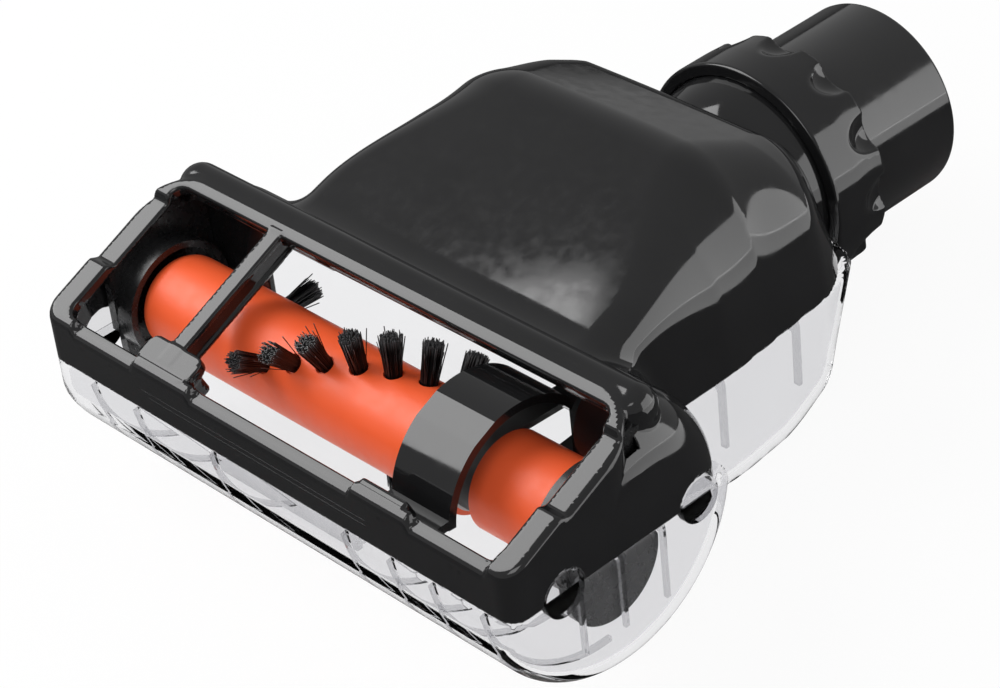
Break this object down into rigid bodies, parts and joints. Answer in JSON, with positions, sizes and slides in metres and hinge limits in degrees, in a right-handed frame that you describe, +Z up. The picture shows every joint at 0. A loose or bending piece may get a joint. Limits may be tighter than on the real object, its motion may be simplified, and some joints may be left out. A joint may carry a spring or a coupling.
{
  "type": "vacuum turbo brush",
  "caption": "Air-driven vacuum turbo brush: bristled roller behind an open mouth, glossy shell, clear cover, belt drive from a turbine, swivel neck and pipe socket.",
  "frame": {"origin": "centre of the bounding box's footprint, on the surface the brush rests on", "axes": "+X along the roller to the belt side, +Y to the pipe socket, +Z up, the way the suction mouth faces as stored"},
  "size_m": [0.14, 0.1836, 0.0672],
  "materials": {
    "black_gloss": "polished moulded black plastic",
    "clear": "clear moulded plastic",
    "black_inner": "satin black plastic",
    "bronze": "sintered bronze",
    "steel": "ground steel",
    "orange": "satin orange-red plastic",
    "orange_soft": "soft orange sleeve",
    "bristle": "black nylon filament",
    "white_inner": "natural white plastic",
    "belt_rubber": "black rubber"
  },
  "bodies": {
    "body": {"base_shell": "black_gloss", "clear_cover": "clear", "belt_guard": "black_gloss", "end_plate_left": "black_inner", "end_plate_right": "black_inner", "bush_left": "bronze", "bush_right": "bronze", "drive_belt": "belt_rubber", "turbine_chamber": "black_inner", "turbine_bearing_left": "steel", "turbine_bearing_right": "steel", "swivel_ball": "black_gloss"},
    "roller": {"roller_core": "orange", "bristle_row_a": "bristle", "bristle_row_b": "bristle", "roller_pulley": "white_inner", "roller_axle": "steel"},
    "turbine": {"turbine_wheel": "white_inner", "turbine_shaft": "steel", "turbine_pulley": "bronze"},
    "seat": {"ball_seat": "white_inner", "seal_ring": "belt_rubber"},
    "connector": {"grip_collar": "black_gloss", "adapter_tube": "black_gloss", "pipe_sleeve": "orange_soft"}
  },
  "joints": [
    {"name": "roller_spin", "type": "hinge", "parent": "body", "child": "roller", "pos_m": [0, -0.06355, 0.0314], "axis": [1, 0, 0], "continuous": true},
    {"name": "turbine_spin", "type": "hinge", "parent": "body", "child": "turbine", "pos_m": [0, -0.00205, 0.0322], "axis": [1, 0, 0], "continuous": true},
    {"name": "neck_tilt", "type": "hinge", "parent": "body", "child": "seat", "pos_m": [0, 0.05045, 0.0285], "axis": [1, 0, 0], "range_deg": [-16, 16]},
    {"name": "pipe_turn", "type": "hinge", "parent": "seat", "child": "connector", "pos_m": [0, 0.055, 0.0285], "axis": [0, 1, 0], "continuous": true}
  ],
  "couplings": [
    {"joint": "roller_spin", "follows": "turbine_spin", "ratio": 0.5}
  ]
}
